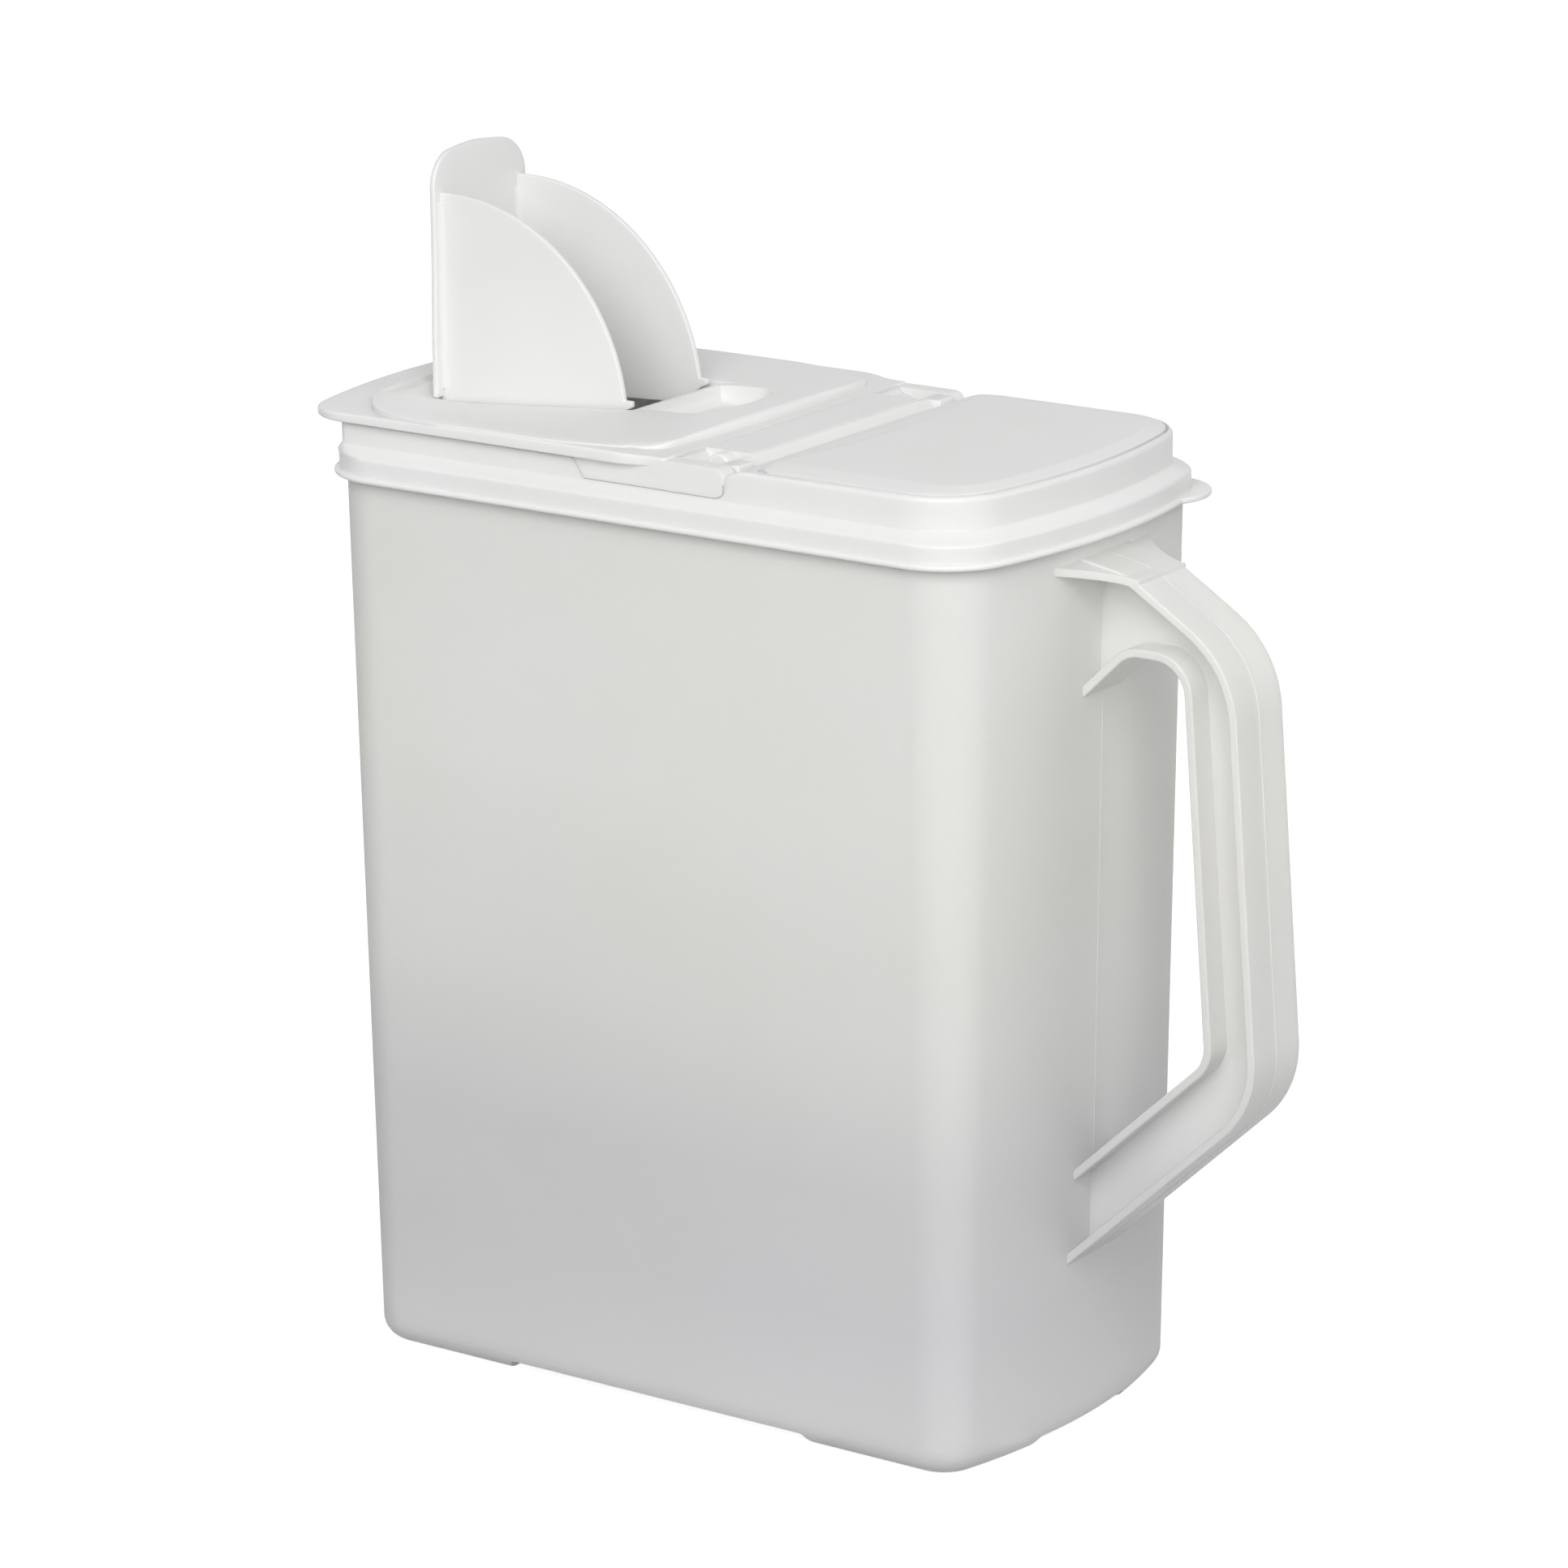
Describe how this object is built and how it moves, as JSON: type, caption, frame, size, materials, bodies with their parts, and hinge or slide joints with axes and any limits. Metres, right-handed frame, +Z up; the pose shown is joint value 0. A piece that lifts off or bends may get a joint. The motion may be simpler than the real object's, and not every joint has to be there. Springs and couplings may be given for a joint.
{
  "type": "pet food bin",
  "caption": "Tall translucent food bin with a side handle and a press-on lid whose hinged half carries a flip-up pour spout.",
  "frame": {"origin": "on the floor under the feet, half way along the whole length from finger lip to handle grip, and half way across", "axes": "+Z up, +X along the bin towards the handle, +Y across the bin towards the side with the lid's lift tab"},
  "size_m": [0.3104, 0.1376, 0.3685],
  "materials": {
    "natural_polypropylene": "satin, translucent",
    "white_polypropylene": "satin"
  },
  "bodies": {
    "tub": {"bin_body": "natural_polypropylene"},
    "lid": {"lid_base": "white_polypropylene", "mouth_collar": "white_polypropylene"},
    "flip": {"flip_lid": "white_polypropylene"},
    "spout": {"pour_spout": "white_polypropylene"}
  },
  "joints": [
    {"name": "lid_lift", "type": "slide", "parent": "tub", "child": "lid", "axis": [0, 0, 1], "range_m": [0, 0.06]},
    {"name": "flip_lid_hinge", "type": "hinge", "parent": "lid", "child": "flip", "pos_m": [0.00269, 0, 0.2927], "axis": [0, 1, 0], "range_deg": [0, 110]},
    {"name": "spout_hinge", "type": "hinge", "parent": "flip", "child": "spout", "pos_m": [-0.12621, 0, 0.2894], "axis": [0, 1, 0], "range_deg": [0, 85]}
  ]
}
